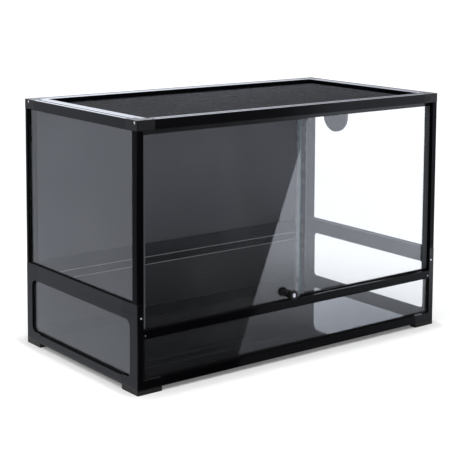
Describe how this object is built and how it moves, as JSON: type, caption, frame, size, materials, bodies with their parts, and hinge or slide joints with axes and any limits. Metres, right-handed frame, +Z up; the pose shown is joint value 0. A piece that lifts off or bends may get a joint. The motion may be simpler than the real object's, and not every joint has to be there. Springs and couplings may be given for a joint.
{
  "type": "reptile terrarium",
  "caption": "Knock-down glass reptile terrarium on low feet, with black corner posts and rails, overlapping sliding doors with a cam lock, a lift-out screen lid and a round cable port.",
  "frame": {"origin": "middle of the bounding box, on the floor under the feet", "axes": "+X along the width to the right as the doors are faced, +Y to the back panel, +Z up; the doors face -Y"},
  "size_m": [0.91, 0.507, 0.6],
  "materials": {
    "frame_bars": "semi-gloss black",
    "moulded_parts": "satin black",
    "glass": "clear, polished edges",
    "smoked_seal": "smoked",
    "panels": "gloss black",
    "gasket": "matt black",
    "screws": "bright zinc",
    "plated": "satin plated",
    "lock_black": "gloss black",
    "port_grey": "satin black",
    "screen": "black coated wire"
  },
  "bodies": {
    "frame": {"top_rail_front": "frame_bars", "top_rail_rear": "frame_bars", "top_rail_left": "frame_bars", "top_rail_right": "frame_bars", "top_corner_fl": "moulded_parts", "top_corner_fr": "moulded_parts", "top_corner_rl": "moulded_parts", "top_corner_rr": "moulded_parts", "post_fl": "frame_bars", "post_fr": "frame_bars", "post_rl": "frame_bars", "post_rr": "frame_bars", "mid_corner_fl": "moulded_parts", "mid_corner_fr": "moulded_parts", "mid_corner_rl": "moulded_parts", "mid_corner_rr": "moulded_parts", "mid_bar_left": "frame_bars", "mid_bar_right": "frame_bars", "mid_bar_rear": "frame_bars", "lower_post_fl": "moulded_parts", "lower_post_fr": "moulded_parts", "lower_post_rl": "moulded_parts", "lower_post_rr": "moulded_parts", "lower_bar_left": "frame_bars", "lower_bar_right": "frame_bars", "lower_bar_rear": "frame_bars", "base_bar_front": "frame_bars", "base_bar_rear": "frame_bars", "base_bar_left": "frame_bars", "base_bar_right": "frame_bars", "door_track": "frame_bars", "upper_glass_left": "glass", "upper_glass_right": "glass", "lower_glass_left": "glass", "lower_glass_right": "glass", "lower_glass_front": "glass", "back_panel_upper": "panels", "back_panel_lower": "panels", "floor_panel": "panels", "glazing_gaskets": "gasket", "frame_screws": "screws", "port_ring": "moulded_parts", "port_nut": "moulded_parts"},
    "door_left": {"door_left_glass": "glass", "door_left_guides": "moulded_parts", "door_left_trim": "moulded_parts", "lock_case": "lock_black", "lock_plate": "plated"},
    "door_right": {"door_right_glass": "glass", "door_right_guides": "moulded_parts", "door_right_trim": "moulded_parts", "door_right_seal": "smoked_seal", "lock_catch": "plated"},
    "lock": {"lock_knob": "lock_black", "lock_cam": "plated"},
    "lid": {"lid_frame": "frame_bars", "lid_mesh": "screen"},
    "port_shutter": {"port_cap": "port_grey"}
  },
  "joints": [
    {"name": "door_left_slide", "type": "slide", "parent": "frame", "child": "door_left", "axis": [1, 0, 0], "range_m": [0, 0.42]},
    {"name": "door_right_slide", "type": "slide", "parent": "frame", "child": "door_right", "axis": [-1, 0, 0], "range_m": [0, 0.42]},
    {"name": "lock_turn", "type": "hinge", "parent": "door_left", "child": "lock", "pos_m": [-0.029, -0.2465, 0.157], "axis": [0, -1, 0], "range_deg": [0, 55]},
    {"name": "lid_lift", "type": "slide", "parent": "frame", "child": "lid", "axis": [0, 0, 1], "range_m": [0, 0.15]},
    {"name": "port_turn", "type": "hinge", "parent": "frame", "child": "port_shutter", "pos_m": [0.449, 0.1395, 0.505], "axis": [1, 0, 0], "range_deg": [0, 90]}
  ]
}
